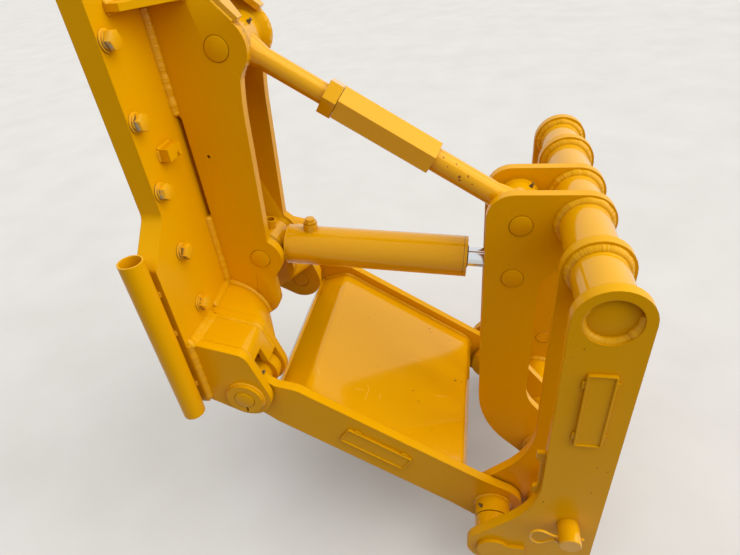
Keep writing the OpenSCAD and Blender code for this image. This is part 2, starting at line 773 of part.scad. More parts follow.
mount_plate();
mast_plate(false);  // mast_plate_right
mast_plate(true);  // mast_plate_left
mast_cap();
top_gusset(false);  // top_gusset_right
top_gusset(true);  // top_gusset_left
low_gusset(false);  // low_gusset_right
low_gusset(true);  // low_gusset_left
clevis_outer(false);  // clevis_outer_right
clevis_outer(true);  // clevis_outer_left
clevis_inner(false);  // clevis_inner_right
clevis_inner(true);  // clevis_inner_left
clevis_fold(false);  // clevis_fold_right
clevis_fold(true);  // clevis_fold_left
marker_tube(false);  // marker_tube_right
marker_tube(true);  // marker_tube_left
anchor_block();
mast_top_pin();
mast_cylinder_pin();
rear_pin(false);  // rear_pin_right
rear_pin(true);  // rear_pin_left
arm(false);  // arm_right
arm(true);  // arm_left
deck();
head_plate(false);  // head_plate_right
head_plate(true);  // head_plate_left
upper_tube();
lower_tube();
side_plate(false);  // side_plate_right
side_plate(true);  // side_plate_left
inner_ear(false);  // inner_ear_right
inner_ear(true);  // inner_ear_left
pivot_sleeve(false);  // pivot_sleeve_right
pivot_sleeve(true);  // pivot_sleeve_left
front_pin(false);  // front_pin_right
front_pin(true);  // front_pin_left
head_top_pin();
head_cylinder_pin();
lock_pin(false);  // lock_pin_right
lock_pin(true);  // lock_pin_left
link_rear_rod();
link_nut();
link_sleeve();
link_front_rod();
cylinder_barrel();
cylinder_rod();
rod_eye();
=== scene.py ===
# Front lift group of a motor grader, seen from above its right side. The steel pieces come from
# the frame; this script gives them their paint, welds, bolts, clips, fittings and blank plates.
import bmesh
import bpy
import json
from math import ceil, cos, pi, radians, sin, sqrt
from mathutils import Matrix, Vector, noise

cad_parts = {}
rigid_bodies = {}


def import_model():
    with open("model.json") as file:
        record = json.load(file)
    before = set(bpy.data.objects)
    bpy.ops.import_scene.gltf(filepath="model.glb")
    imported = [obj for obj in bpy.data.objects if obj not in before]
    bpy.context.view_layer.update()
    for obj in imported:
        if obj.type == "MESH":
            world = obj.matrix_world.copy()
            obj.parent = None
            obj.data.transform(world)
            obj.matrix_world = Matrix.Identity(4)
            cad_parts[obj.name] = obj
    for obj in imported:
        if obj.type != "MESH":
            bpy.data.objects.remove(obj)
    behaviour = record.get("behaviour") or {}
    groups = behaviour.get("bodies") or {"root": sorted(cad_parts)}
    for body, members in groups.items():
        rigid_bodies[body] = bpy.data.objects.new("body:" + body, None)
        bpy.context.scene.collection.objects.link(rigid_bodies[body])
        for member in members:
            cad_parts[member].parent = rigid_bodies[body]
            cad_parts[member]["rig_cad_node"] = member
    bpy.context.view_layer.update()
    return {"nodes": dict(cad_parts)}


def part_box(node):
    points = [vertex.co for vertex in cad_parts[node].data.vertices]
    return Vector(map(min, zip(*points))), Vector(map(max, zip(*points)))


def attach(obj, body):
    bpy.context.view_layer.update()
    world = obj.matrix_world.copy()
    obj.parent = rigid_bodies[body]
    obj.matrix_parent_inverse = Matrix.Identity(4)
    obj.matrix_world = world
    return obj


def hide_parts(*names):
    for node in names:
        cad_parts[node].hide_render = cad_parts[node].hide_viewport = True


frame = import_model()
cad = frame["nodes"]
bpy.context.scene.view_settings.view_transform = "Standard"

# Camera
# It stands a metre to the right of the group and looks down on it at 36 degrees, through a
# wide lens, with the horizon tilted a little.
camera_at = (0.71865, -1.15618, 0.46780)
camera_side = radians(13.79)
camera_down = radians(35.60)
camera_tilt = radians(-6.54)
camera_data = bpy.data.cameras.new("camera")
camera_data.lens = 25.52
camera_data.sensor_width = 36
camera_data.clip_end = 200
camera = bpy.data.objects.new("camera", camera_data)
camera.matrix_world = (Matrix.Translation(camera_at) @ Matrix.Rotation(camera_side, 4, "Z")
                       @ Matrix.Rotation(pi / 2 - camera_down, 4, "X") @ Matrix.Rotation(camera_tilt, 4, "Z"))
bpy.context.scene.collection.objects.link(camera)
bpy.context.scene.camera = camera

# Painted steel plate
# All the steelwork is flame-cut plate, welded and sprayed as one with two-pack gloss enamel. It
# lies a little thicker on edges and has a fine orange peel and some grit; the browner tone in corners is
# painted shade.
enamel_light = "ECAC00"
enamel_deep = "E4A200"
# Colour of the painted shade in corners and narrow gaps
painted_corner_shade = "AE7200"
enamel_scuff = "FBC350"
primer = "8A4218"
bare_steel = "3A2A18"
patch_size = 0.30
peel_size = 0.006
plate_edge = 0.0022
# How far the painted corner shade reaches
corner_shade_reach = 0.028
grit_spacing = 0.034
grit_size = 0.022
chip_raggedness = 240.0
scratch_width = 0.0007
smooth_below = 30


def linear(code):
    parts = [int(code[i:i + 2], 16) / 255 for i in (0, 2, 4)]
    return [p / 12.92 if p < 0.04045 else ((p + 0.055) / 1.055) ** 2.4 for p in parts] + [1]


def add(tree, kind, inputs, **settings):
    made = tree.nodes.new(kind)
    for name, value in settings.items():
        setattr(made, name, value)
    for name, value in inputs.items():
        if isinstance(value, bpy.types.NodeSocket):
            tree.links.new(value, made.inputs[name])
        else:
            made.inputs[name].default_value = value
    return made


def new_material(name):
    material = bpy.data.materials.new(name)
    material.use_nodes = True
    material.node_tree.nodes.clear()
    tree = material.node_tree
    return material, tree, add(tree, "ShaderNodeTexCoord", {}).outputs["Object"]


def chip_mask(tree, place, chips):
    ragged = add(tree, "ShaderNodeTexNoise", {"Vector": place, "Scale": chip_raggedness, "Detail": 3.0})
    mask = 0.0
    for x, y, z, size in chips:
        gap = add(tree, "ShaderNodeVectorMath", {0: place, 1: (x, y, z)}, operation="DISTANCE")
        edge = add(tree, "ShaderNodeMath", {0: ragged.outputs["Fac"], 1: 2.4 * size, 2: -0.2 * size},
                   operation="MULTIPLY_ADD")
        inside = add(tree, "ShaderNodeMath", {0: gap.outputs["Value"], 1: edge.outputs[0]},
                     operation="LESS_THAN")
        mask = add(tree, "ShaderNodeMath", {0: mask, 1: inside.outputs[0]}, operation="MAXIMUM").outputs[0]
    return mask


def scratch_mask(tree, place, scratches):
    mask = 0.0
    for start, end in scratches:
        run = Vector(end) - Vector(start)
        off = add(tree, "ShaderNodeVectorMath", {0: place, 1: start}, operation="SUBTRACT")
        share = add(tree, "ShaderNodeVectorMath", {0: off.outputs[0], 1: run / run.length_squared},
                    operation="DOT_PRODUCT")
        held = add(tree, "ShaderNodeClamp", {"Value": share.outputs["Value"]})
        foot = add(tree, "ShaderNodeVectorMath", {0: run, "Scale": held.outputs[0]}, operation="SCALE")
        gap = add(tree, "ShaderNodeVectorMath", {0: off.outputs[0], 1: foot.outputs[0]}, operation="DISTANCE")
        line = add(tree, "ShaderNodeMath", {0: gap.outputs["Value"], 1: scratch_width}, operation="LESS_THAN")
        mask = add(tree, "ShaderNodeMath", {0: mask, 1: line.outputs[0]}, operation="MAXIMUM").outputs[0]
    return mask


def enamel(name, roughness, sheen, coat, chips=(), chip_colour=bare_steel, scratches=()):
    material, tree, place = new_material(name)
    patches = add(tree, "ShaderNodeTexNoise", {"Vector": place, "Scale": 1 / patch_size, "Detail": 3.0})
    body = add(tree, "ShaderNodeMix", {0: patches.outputs["Fac"], 6: linear(enamel_light),
                                       7: linear(enamel_deep)}, data_type="RGBA").outputs[2]
    # Painted shade: ambient occlusion mixes the paint towards the shade colour in corners and narrow gaps.
    corners = add(tree, "ShaderNodeAmbientOcclusion", {"Distance": corner_shade_reach}, samples=8)
    depth = add(tree, "ShaderNodeMapRange", {"Value": corners.outputs["AO"], "From Min": 0.30,
                                             "From Max": 0.90, "To Min": 0.60, "To Max": 0.0})
    body = add(tree, "ShaderNodeMix", {0: depth.outputs[0], 6: body, 7: linear(painted_corner_shade)},
               data_type="RGBA").outputs[2]
    if scratches:
        scuffs = scratch_mask(tree, place, scratches)
        body = add(tree, "ShaderNodeMix", {0: scuffs, 6: body, 7: linear(enamel_scuff)},
                   data_type="RGBA").outputs[2]
    grit = add(tree, "ShaderNodeTexVoronoi", {"Vector": place, "Scale": 1 / grit_spacing})
    bare = add(tree, "ShaderNodeMath", {0: grit.outputs["Distance"], 1: grit_size},
               operation="LESS_THAN").outputs[0]
    if chips:
        bare = add(tree, "ShaderNodeMath", {0: bare, 1: chip_mask(tree, place, chips)},
                   operation="MAXIMUM").outputs[0]
    body = add(tree, "ShaderNodeMix", {0: bare, 6: body, 7: linear(chip_colour)}, data_type="RGBA").outputs[2]
    film = add(tree, "ShaderNodeTexNoise", {"Vector": place, "Scale": 14.0, "Detail": 4.0})
    gloss = add(tree, "ShaderNodeMapRange", {"Value": film.outputs["Fac"], "From Min": 0.35, "From Max": 0.75,
                                             "To Min": roughness - 0.04, "To Max": roughness + 0.06})
    dull = add(tree, "ShaderNodeMath", {0: bare, 1: 0.4, 2: gloss.outputs[0]}, operation="MULTIPLY_ADD")
    edges = add(tree, "ShaderNodeBevel", {"Radius": plate_edge}, samples=4)
    peel = add(tree, "ShaderNodeTexNoise", {"Vector": place, "Scale": 1 / peel_size, "Detail": 1.0})
    skin = add(tree, "ShaderNodeMath", {0: bare, 1: -1.2, 2: peel.outputs["Fac"]}, operation="MULTIPLY_ADD")
    bump = add(tree, "ShaderNodeBump", {"Height": skin.outputs[0], "Strength": 0.08, "Distance": 0.0008,
                                        "Normal": edges.outputs[0]})
    shader = add(tree, "ShaderNodeBsdfPrincipled", {
        "Base Color": body, "Roughness": dull.outputs[0], "IOR": 1.50, "Specular IOR Level": sheen,
        "Specular Tint": linear("FFCC58"), "Coat Weight": coat, "Coat Roughness": 0.06,
        "Normal": bump.outputs[0]})
    add(tree, "ShaderNodeOutputMaterial", {"Surface": shader.outputs[0]})
    return material


def smooth_shading():
    group = bpy.data.node_groups.new("smooth arcs", "GeometryNodeTree")
    group.interface.new_socket("Geometry", in_out="INPUT", socket_type="NodeSocketGeometry")
    group.interface.new_socket("Geometry", in_out="OUTPUT", socket_type="NodeSocketGeometry")
    start = group.nodes.new("NodeGroupInput")
    merged = add(group, "GeometryNodeMergeByDistance", {"Geometry": start.outputs[0], "Distance": 0.00001})
    plain = add(group, "GeometryNodeRemoveAttribute", {"Geometry": merged.outputs[0],
                                                       "Name": "custom_normal"})
    faces = add(group, "GeometryNodeSetShadeSmooth", {"Geometry": plain.outputs[0], "Shade Smooth": True},
                domain="FACE")
    angle = add(group, "GeometryNodeInputMeshEdgeAngle", {})
    sharp = add(group, "FunctionNodeCompare", {0: angle.outputs[0], 1: radians(smooth_below)},
                data_type="FLOAT", operation="GREATER_THAN")
    edges = add(group, "GeometryNodeSetShadeSmooth", {"Geometry": faces.outputs[0],
                "Selection": sharp.outputs[0], "Shade Smooth": False}, domain="EDGE")
    end = group.nodes.new("NodeGroupOutput")
    group.links.new(edges.outputs[0], end.inputs[0])
    return group


smooth_arcs = smooth_shading()
plate_enamel = enamel("gloss enamel on flame-cut plate", 0.32, 0.24, 0.0)
sky_enamel = enamel("gloss enamel on rolled and turned steel", 0.15, 0.80, 0.25)
weld_enamel = enamel("gloss enamel on hand-laid welds", 0.24, 0.35, 0.20)


def finish(piece, material):
    if piece.type == "MESH" and "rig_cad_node" in piece:
        piece.modifiers.new("smooth arcs", "NODES").node_group = smooth_arcs
    piece.data.materials.clear()
    piece.data.materials.append(material)


flat_steel = ("mount_plate", "mast_plate", "top_gusset", "low_gusset", "clevis_outer", "clevis_inner",
              "anchor_block", "marker_tube", "mast_top_pin", "mast_cylinder_pin", "rear_pin", "arm_",
              "head_plate", "inner_ear", "front_pin", "head_top_pin", "head_cylinder_pin")
round_steel = ("mast_cap", "clevis_fold", "upper_tube", "lower_tube", "pivot_sleeve", "lock_pin", "rod_eye",
               "link_rear_rod", "link_nut", "link_sleeve", "cylinder_barrel")
for name, piece in cad.items():
    if name.startswith(flat_steel):
        finish(piece, plate_enamel)
    elif name.startswith(round_steel):
        finish(piece, sky_enamel)

# Bolts of the mounting plate
# Ten seven-eighths hex bolts, each on a spring washer and a flat one, were pulled up before the
# paint was sprayed from the front, so their sides are partly bare zinc.
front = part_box("mount_plate")[1].x
bolt_row = 0.232
bolt_pitch = 0.1524
bolt_flats = 0.0335
bolt_head = 0.014
flat_washer = (0.0215, 0.0035)      # radius, thickness
spring_washer = (0.0180, 0.0050)
bolt_turns = (17, 40)               # degrees per row and per side


def new_piece(name, bm, body, material, crease=32):
    mesh = bpy.data.meshes.new(name)
    bm.to_mesh(mesh)
    bm.free()
    piece = bpy.data.objects.new(name, mesh)
    bpy.context.scene.collection.objects.link(piece)
    mesh.shade_smooth()
    mesh.set_sharp_from_angle(angle=radians(crease))
    finish(piece, material)
    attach(piece, body)
    return piece


def edges_of(verts):
    return list(dict.fromkeys(e for v in verts for e in v.link_edges))


def disc(bm, radius, start, thick, segments=32, edge=0.0006):
    made = bmesh.ops.create_cone(bm, cap_ends=True, segments=segments, radius1=radius, radius2=radius,
                                 depth=thick)["verts"]
    bmesh.ops.translate(bm, verts=made, vec=(0, 0, start + thick / 2))
    rims = [e for e in edges_of(made) if abs(e.verts[0].co.z - e.verts[1].co.z) < 1e-6]
    kept = set(made)
    cut = bmesh.ops.bevel(bm, geom=rims, offset=edge, segments=2, profile=0.5, affect="EDGES", material=-1)
    return [v for v in made if v.is_valid] + [v for v in cut["verts"] if v not in kept]


def hex_bolt(bm, place):
    verts = disc(bm, flat_washer[0], 0, flat_washer[1])
    verts += disc(bm, spring_washer[0], flat_washer[1], spring_washer[1])
    seat = flat_washer[1] + spring_washer[1]
    verts += disc(bm, bolt_flats / 2 / cos(pi / 6), seat, bolt_head, 6, 0.0016)
    bmesh.ops.transform(bm, matrix=place, verts=verts)


def oversprayed_zinc():
    material, tree, place = new_material("zinc plate with paint overspray")
    surface = add(tree, "ShaderNodeNewGeometry", {})
    facing = add(tree, "ShaderNodeSeparateXYZ", {"Vector": surface.outputs["Normal"]})
    cloud = add(tree, "ShaderNodeTexNoise", {"Vector": place, "Scale": 1 / 0.011, "Detail": 4.0})
    above = add(tree, "ShaderNodeMath", {0: facing.outputs["Z"], 1: 0.22, 2: cloud.outputs["Fac"]},
                operation="MULTIPLY_ADD")
    reach = add(tree, "ShaderNodeMath", {0: facing.outputs["X"], 1: 0.9, 2: above.outputs[0]},
                operation="MULTIPLY_ADD")
    painted = add(tree, "ShaderNodeMapRange", {"Value": reach.outputs[0], "From Min": 0.44, "From Max": 0.52})
    zinc = add(tree, "ShaderNodeMix", {0: cloud.outputs["Fac"], 6: linear("B4AC96"), 7: linear("4E4638")},
               data_type="RGBA")
    colour = add(tree, "ShaderNodeMix", {0: painted.outputs[0], 6: zinc.outputs[2], 7: linear(enamel_light)},
                 data_type="RGBA")
    metal = add(tree, "ShaderNodeMath", {0: 1.0, 1: painted.outputs[0]}, operation="SUBTRACT")
    shader = add(tree, "ShaderNodeBsdfPrincipled", {
        "Base Color": colour.outputs[2], "Metallic": metal.outputs[0], "Roughness": 0.36,
        "Normal": add(tree, "ShaderNodeBevel", {"Radius": 0.0008}, samples=4).outputs[0]})
    add(tree, "ShaderNodeOutputMaterial", {"Surface": shader.outputs[0]})
    return material


bolt_metal = oversprayed_zinc()
bolts = bmesh.new()
for side in (-1, 1):
    for row in range(-2, 3):
        turn = Matrix.Rotation(radians(bolt_turns[0] * row + bolt_turns[1] * side), 4, "Z")
        hex_bolt(bolts, Matrix.Translation((front, side * bolt_row, row * bolt_pitch))
                 @ Matrix.Rotation(pi / 2, 4, "Y") @ turn)
new_piece("plate_bolts", bolts, "mast", bolt_metal)

# Mast plates
# Two plates of 25 mm steel carry the pins of the top link and of the cylinder. Between the two ears
# their front edge is flame-cut on a slant, back to a tight corner just above the cylinder's ear.
cylinder_ear = (0.165, -0.272, 0.059)       # x, z, radius
corner = (0.207, -0.2148, 0.012)
slant_start = ((0.2240, 0.186), (0.2198, 0.162), (0.2160, 0.135), (0.2130, 0.105))
cutter_front = 0.260
cutter_sides = (0.050, 0.090)


def arc(centre, radius, turns):
    return [(centre[0] + radius * cos(radians(a)), centre[1] + radius * sin(radians(a))) for a in turns]


def slant_cutter(side):
    outline = [(cutter_front, slant_start[0][1])] + list(slant_start)
    outline += arc(corner, corner[2], range(180, 235, 6))
    outline += arc(cylinder_ear, cylinder_ear[2], range(50, -1, -5))
    outline.append((cutter_front, cylinder_ear[1]))
    bm = bmesh.new()
    face = bm.faces.new([bm.verts.new((x, side * cutter_sides[0], z)) for x, z in outline])
    walls = bmesh.ops.extrude_face_region(bm, geom=[face])["geom"]
    bmesh.ops.translate(bm, vec=(0, side * (cutter_sides[1] - cutter_sides[0]), 0),
                        verts=[v for v in walls if isinstance(v, bmesh.types.BMVert)])
    bmesh.ops.recalc_face_normals(bm, faces=bm.faces)
    mesh = bpy.data.meshes.new("cutter")
    bm.to_mesh(mesh)
    bm.free()
    return mesh


for side, hand in ((-1, "right"), (1, "left")):
    bm = bmesh.new()
    bm.from_mesh(cad["mast_plate_" + hand].data)
    bmesh.ops.remove_doubles(bm, verts=bm.verts, dist=0.00001)
    mesh = bpy.data.meshes.new("plate")
    bm.to_mesh(mesh)
    bm.free()
    pair = [bpy.data.objects.new("plate", mesh), bpy.data.objects.new("cutter", slant_cutter(side))]
    for shape in pair:
        bpy.context.scene.collection.objects.link(shape)
    cut = pair[0].modifiers.new("slant", "BOOLEAN")
    cut.operation = "DIFFERENCE"
    cut.solver = "EXACT"
    cut.object = pair[1]
    profiled = bpy.data.meshes.new_from_object(pair[0].evaluated_get(bpy.context.evaluated_depsgraph_get()))
    for shape in pair:
        bpy.data.objects.remove(shape)
    bm = bmesh.new()
    bm.from_mesh(profiled)
    bmesh.ops.dissolve_degenerate(bm, edges=bm.edges, dist=0.000005)
    plate = new_piece("profiled_mast_plate_" + hand, bm, "mast", plate_enamel)
    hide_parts("mast_plate_" + hand)

# Pin ends
# Every pivot pin stands two millimetres proud of its plate, and its rounded rim catches the light.
pin_face = 0.0260
pin_sunk = 0.0020
pin_proud = 0.0022
pin_rim = 0.0014


def pin_ends(name, body, pins):
    bm = bmesh.new()
    for pin, sides in pins:
        low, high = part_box(pin)
        for side in sides:
            verts = disc(bm, pin_face, -pin_sunk, pin_sunk + pin_proud, 48, pin_rim)
            at = ((low.x + high.x) / 2, high.y if side > 0 else low.y, (low.z + high.z) / 2)
            outward = Matrix.Rotation(-side * pi / 2, 4, "X")
            bmesh.ops.transform(bm, matrix=Matrix.Translation(at) @ outward, verts=verts)
    return new_piece(name, bm, body, plate_enamel)


pin_ends("mast_pin_ends", "mast", (("mast_top_pin", (-1, 1)), ("mast_cylinder_pin", (-1, 1)),
                                   ("rear_pin_right", (-1,)), ("rear_pin_left", (1,))))
pin_ends("head_pin_ends", "coupler_head", (("head_top_pin", (-1, 1)), ("head_cylinder_pin", (-1, 1))))

# Mast welds
# The mast plates stand on the mounting plate with a heavy fillet weld down each face, laid by hand
# in crescent ripples and painted over. The cap, the gussets and the small block are welded too.
# A run is a path and a leg; each point of a path has the directions of the two walls.
ripple = 0.006
bead_step = 0.0015
bead_faces = 8
swell = (0.16, 60)          # share of the leg, points per metre
swell_fine = (0.08, 300)
full_turn = 372
gusset_leg = 0.0075


def straight(start, end, first, second, leg):
    walls = (Vector(first), Vector(second))
    return [(Vector(start), *walls), (Vector(end), *walls)], leg


def ring(centre, radius, y, out, leg, start=0, end=full_turn, inward=1):
    count = ceil(abs(end - start) / 5)
    turns = [radians(start + (end - start) * i / count) for i in range(count + 1)]
    return [(Vector((centre[0] + radius * cos(a), y, centre[1] + radius * sin(a))),
             inward * Vector((cos(a), 0, sin(a))), Vector((0, out, 0))) for a in turns], leg


def fillet(bm, path, leg):
    rows = []
    for (p, u, v), (q, s, t) in zip(path, path[1:]):
        count = max(1, ceil((q - p).length / bead_step))
        rows += [(p.lerp(q, i / count), u.lerp(s, i / count), v.lerp(t, i / count)) for i in range(count)]
    rows.append(path[-1])
    verts = bmesh.ops.create_grid(bm, x_segments=bead_faces, y_segments=len(rows) - 1, size=0.5)["verts"]
    far = (len(rows) - 1) * bead_step
    for i, (p, u, v) in enumerate(rows):
        s = i * bead_step
        end = min(1, min(s, far - s) / (0.8 * leg))
        waver = swell[0] * noise.noise(p * swell[1]) + swell_fine[0] * noise.noise(p * swell_fine[1])
        full = leg * sqrt(end * (2 - end)) * (1 + waver)
        for k in range(bead_faces + 1):
            a = radians(-10 + 110 * (k % bead_faces) / (bead_faces - 2))
            crest = max(0, sin(2 * a))
            trough = 1 - abs(sin(pi * (s + 0.5 * leg * crest) / ripple))
            reach = full * (1 - 0.10 * crest - 0.09 * crest * trough * trough)
            spot = p + reach * (cos(a) * u + sin(a) * v)
            verts[i * (bead_faces + 1) + k].co = p - 0.3 * full * (u + v) if k == bead_faces - 1 else spot
    bmesh.ops.remove_doubles(bm, verts=verts, dist=0.000002)


def weld_piece(name, body, runs):
    bm = bmesh.new()
    for path, leg in runs:
        fillet(bm, path, leg)
    bmesh.ops.recalc_face_normals(bm, faces=bm.faces)
    return new_piece(name, bm, body, weld_enamel, crease=60)


mast_out = 0.083
mast_in = 0.058
mast_runs = []
for side in (-1, 1):
    for y, out, leg in ((mast_out, side, 0.0122), (mast_in, -side, 0.0100)):
        for top, bottom in ((0.403, 0.112), (-0.142, -0.493)):
            mast_runs.append(straight((front, side * y, top), (front, side * y, bottom), (1, 0, 0),
                                      (0, out, 0), leg))
    for z, up in ((0.360, 1), (0.346, -1)):
        mast_runs.append(straight((front, side * 0.088, z), (front, side * 0.204, z), (1, 0, 0),
                                  (0, 0, up), gusset_leg))
        mast_runs.append(straight((0.052, side * mast_out, z), (0.149, side * mast_out, z), (0, side, 0),
                                  (0, 0, up), gusset_leg))
    mast_runs.append(straight((0.234, side * 0.079, 0.2954), (0.136, side * 0.079, 0.4043), (0, side, 0),
                              (0.743, 0, 0.669), 0.0042))
block_low = (-0.194, 0.051)         # y, z
block_high = (-0.140, 0.079)
for y, z, dy, dz in ((*block_low, 0, -1), (block_high[0], block_low[1], 1, 0), (*block_high, 0, 1),
                     (block_low[0], block_high[1], -1, 0)):
    edge = Vector((0, -dz, dy)) * (block_high[0] - block_low[0] if dz else block_high[1] - block_low[1])
    mast_runs.append(straight((front, y, z), Vector((front, y, z)) + edge, (1, 0, 0), (0, dy, dz), 0.0048))

# Clevises of the lower frame
# Each is two cheeks of 22 mm plate with a folded plate between them and a bent gusset to the mast.
# Heavy beads run round their feet and along the fold, and a turned ring is welded to the outer one.
hinge = (0.154, -0.534)
cheek_in = (0.181, 0.203)
cheek_out = (0.305, 0.327)
fold_foot = (0.050, -0.3621)                # x, z
fold_bend = (0.15472, -0.42024, 0.031)      # x, z, radius
fold_fall = (0.970, -0.2425)
fold_end = (0.2029, -0.4758)
fold_start = 0.012
fold_lean = 0.35
gusset_bend = (0.042, -0.4605, 0.110)
gusset_fall = (0.957, 0, -0.29)
boss_r = 0.0475
boss_leg = 0.0050
tab_y = 0.340
tab_x = (0.021, 0.036)
tab_foot = (0.002, 0.020, 0.022)


def slope(turn):
    return Vector((cos(radians(turn)), 0, sin(radians(turn))))


def fold_line(side, y, toward, leg):
    turns = range(76, 15, -6)
    rows = [(fold_foot[0] + fold_start * fold_fall[0], fold_foot[1] + fold_start * fold_fall[1], turns[0])]
    rows += [(x, z, a) for (x, z), a in zip(arc(fold_bend, fold_bend[2], turns), turns)]
    rows.append((*fold_end, turns[-1]))
    return [(Vector((x, side * y, z)), Vector((0, toward * side, 0)), fold_lean * slope(a))
            for x, z, a in rows], leg


def gusset_line(side, leg):
    turns = range(73, -1, -5)
    rows = [(Vector((0.054, side * mast_out, -0.3490)), Vector((0, side, 0)), Vector((0.29, 0, 0.957)))]
    rows += [(Vector((x, side * mast_out, z)), Vector((0.30, side * 0.95, 0)), slope(a))
             for (x, z), a in zip(arc(gusset_bend, gusset_bend[2], turns), turns)]
    return rows, leg


for side in (-1, 1):
    down = (fold_fall[0], 0, fold_fall[1])
    mast_runs.append(straight((fold_foot[0], side * 0.198, fold_foot[1]),
                              (fold_foot[0], side * 0.331, fold_foot[1]), down, (0, 0, 1), 0.0130))
    mast_runs.append(straight((fold_foot[0] + 0.009, side * 0.203, fold_foot[1] - 0.0024),
                              (fold_foot[0] + 0.009, side * 0.326, fold_foot[1] - 0.0024),
                              down, (-0.30, 0, 0.80), 0.0110))
    mast_runs.append(straight((front, side * 0.312, -0.3595), (front, side * 0.336, -0.3595), down,
                              (0, 0, 1), 0.0165))
    mast_runs.append(straight((front, side * cheek_out[1], -0.352), (front, side * cheek_out[1], -0.551),
                              (1, 0, 0), (0, side, 0), 0.0122))
    mast_runs.append(straight((front, side * cheek_in[0], -0.474), (front, side * cheek_in[0], -0.551),
                              (1, 0, 0), (0, -side, 0), 0.0100))
    mast_runs.append(fold_line(side, cheek_in[1], 1, 0.0105))
    mast_runs.append(fold_line(side, cheek_out[0], -1, 0.0075))
    mast_runs.append(ring(hinge, boss_r, side * cheek_out[1], side, boss_leg, -78, 258))
    mast_runs.append(straight((front, side * 0.080, -0.3475), (front, side * 0.183, -0.3585), gusset_fall,
                              (0, 0, 1), 0.0110))
    mast_runs.append(gusset_line(side, 0.0098))
    for z in (-0.208, -0.323, -0.492):
        mast_runs.append(straight((tab_x[1], side * tab_y, z + tab_foot[0]),
                                  (tab_x[1], side * tab_y, z + tab_foot[1]), (0, side, 0), (1, 0, 0), 0.0055))
        mast_runs.append(straight((tab_x[0], side * tab_y, z + tab_foot[2]),
                                  (tab_x[1], side * tab_y, z + tab_foot[2]), (0, side, 0), (0, 0, 1), 0.0050))
weld_piece("mast_welds", "mast", mast_runs)

# Lower frame
# Two profiled arms are joined by a bent deck plate that people step on, so it is scuffed and has
# small dark chips. The right arm carries a raised blank plate, the arms' eyes have grease nipples.
link_fall = radians(33.2)
along = Vector((cos(link_fall), 0, -sin(link_fall)))
upward = Vector((sin(link_fall), 0, cos(link_fall)))
low_pin = Vector((hinge[0], 0, hinge[1]))
head_low = (0.78827, -0.94905)
arm_in = 0.275
arm_out = 0.300
deck_up = 0.042
frame_leg = 0.0062
# The deck's upper face, by its place along the arm and its height over the line of the pins
deck_line = ((0.078, -0.0256), (0.126, 0.0313), (0.1307, 0.0358), (0.1363, 0.0392), (0.1425, 0.0413),
             (0.149, deck_up), (0.617, deck_up), (0.638, 0.033), (0.663, 0.009))


def on_frame(s, y, n):
    return low_pin + along * s + upward * n + Vector((0, y, 0))


# Place along the arm, place across it, radius
deck_chips = [(*on_frame(s, y, deck_up), size) for s, y, size in (
    (0.4725, 0.2162, 0.0026), (0.4788, 0.2022, 0.0020), (0.5554, 0.2113, 0.0022), (0.6370, 0.2484, 0.0020),
    (0.5882, 0.0410, 0.0028), (0.6120, 0.0480, 0.0018), (0.4443, -0.0832, 0.0020), (0.4661, -0.1129, 0.0018),
    (0.1094, -0.2089, 0.0015), (0.3175, -0.0607, 0.0014), (0.5200, -0.1900, 0.0015),
    (0.2500, 0.1200, 0.0014))]
deck_scratches = [(on_frame(*a, deck_up), on_frame(*b, deck_up)) for a, b in (
    ((0.2658, -0.1773), (0.2929, -0.1705)), ((0.2975, -0.1447), (0.3060, -0.1559)),
    ((0.3060, -0.1559), (0.3018, -0.1965)), ((0.3426, -0.1555), (0.3438, -0.1746)),
    ((0.1289, -0.1203), (0.1372, -0.1584)), ((0.1372, -0.1584), (0.1561, -0.1908)),
    ((0.4100, 0.0300), (0.4600, 0.0500)), ((0.5200, -0.0600), (0.5600, -0.0420)))]
deck_enamel = enamel("gloss enamel on the trodden deck", 0.15, 0.80, 0.35, deck_chips, "4A3218",
                     deck_scratches)
finish(cad["deck"], deck_enamel)
frame_runs = []
for side in (-1, 1):
    rows = []
    for i, (s, n) in enumerate(deck_line):
        a = deck_line[max(i - 1, 0)]
        b = deck_line[min(i + 1, len(deck_line) - 1)]
        tip = (along * (a[1] - b[1]) + upward * (b[0] - a[0])).normalized()
        rows.append((on_frame(s, side * arm_in, n), Vector((0, -side, 0)), tip))
    frame_runs.append((rows, frame_leg))
    frame_runs.append(straight(on_frame(0.150, side * arm_in, 0.030), on_frame(0.618, side * arm_in, 0.030),
                               (0, -side, 0), -upward, frame_leg))
    frame_runs.append(ring(head_low, boss_r, side * arm_out, side, boss_leg))
weld_piece("frame_welds", "lift_frame", frame_runs)


plate_thick = 0.0070
plate_corner = 0.006
plate_chamfer = (0.0010, 0.0006)            # in, up
plate_border = 0.0035
plate_field = (0.0012, -0.0032)
foot_size = (0.020, 0.012, 0.0044)


